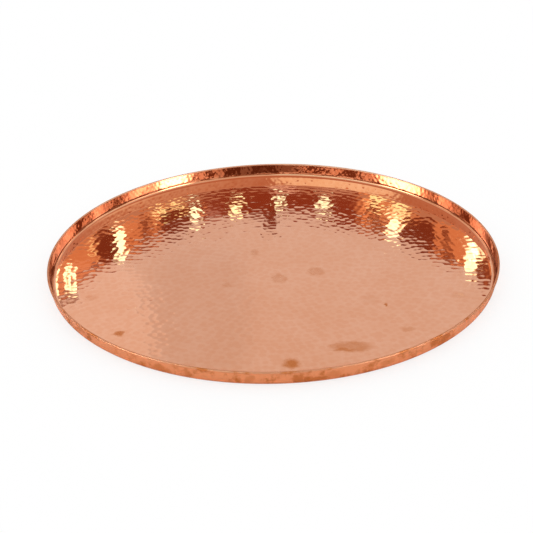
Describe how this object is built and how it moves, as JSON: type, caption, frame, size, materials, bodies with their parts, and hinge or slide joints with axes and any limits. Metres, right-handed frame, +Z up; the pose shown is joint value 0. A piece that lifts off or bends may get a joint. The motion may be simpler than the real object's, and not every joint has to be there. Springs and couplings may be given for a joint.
{
  "type": "serving tray",
  "caption": "Round hammered copper serving tray with a flat floor, a low upright wall and a lip rolled outwards round a wire.",
  "frame": {"origin": "on the tray's axis, at the underside that stands on the table", "axes": "+Z up along the tray's axis; the tray is round, so X and Y are any two level directions, and -Y faces the viewer"},
  "size_m": [0.33, 0.33, 0.0106],
  "materials": {
    "hammered_copper": "polished copper, hammered inside, with light tarnish",
    "wire_copper": "drawn copper wire, dull"
  },
  "bodies": {
    "root": {"tray_pan": "hammered_copper", "rim_wire": "wire_copper"}
  },
  "joints": []
}
